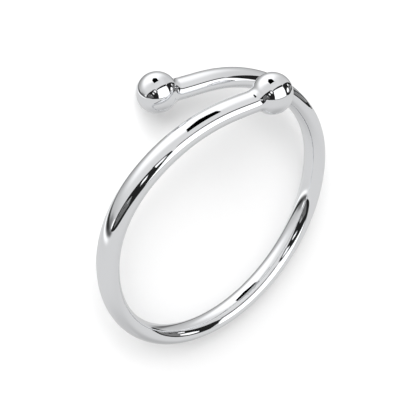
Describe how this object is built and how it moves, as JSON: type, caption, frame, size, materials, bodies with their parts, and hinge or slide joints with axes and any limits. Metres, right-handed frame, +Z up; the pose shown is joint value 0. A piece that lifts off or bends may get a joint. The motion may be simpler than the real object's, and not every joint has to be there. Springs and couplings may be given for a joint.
{
  "type": "open bypass ring with ball ends",
  "caption": "Open finger ring bent from slim oval wire; the ends pass each other with a gap and finish in plain round balls.",
  "frame": {"origin": "on the surface that the ring lies on, under the middle of its bounding box", "axes": "+Z up from the surface the ring lies on; +Y from the plain side of the band towards the side where the two ends pass; +X to the right seen from above, towards the ball that ends the upper wire. The finger axis leans 9 degrees from +Z, as the ring lies on its lower ball"},
  "size_m": [0.0198, 0.0208, 0.0073],
  "materials": {
    "polished_silver": "cast and mirror polished sterling silver with a thin rhodium plating"
  },
  "bodies": {
    "root": {"ring": "polished_silver"}
  },
  "joints": []
}
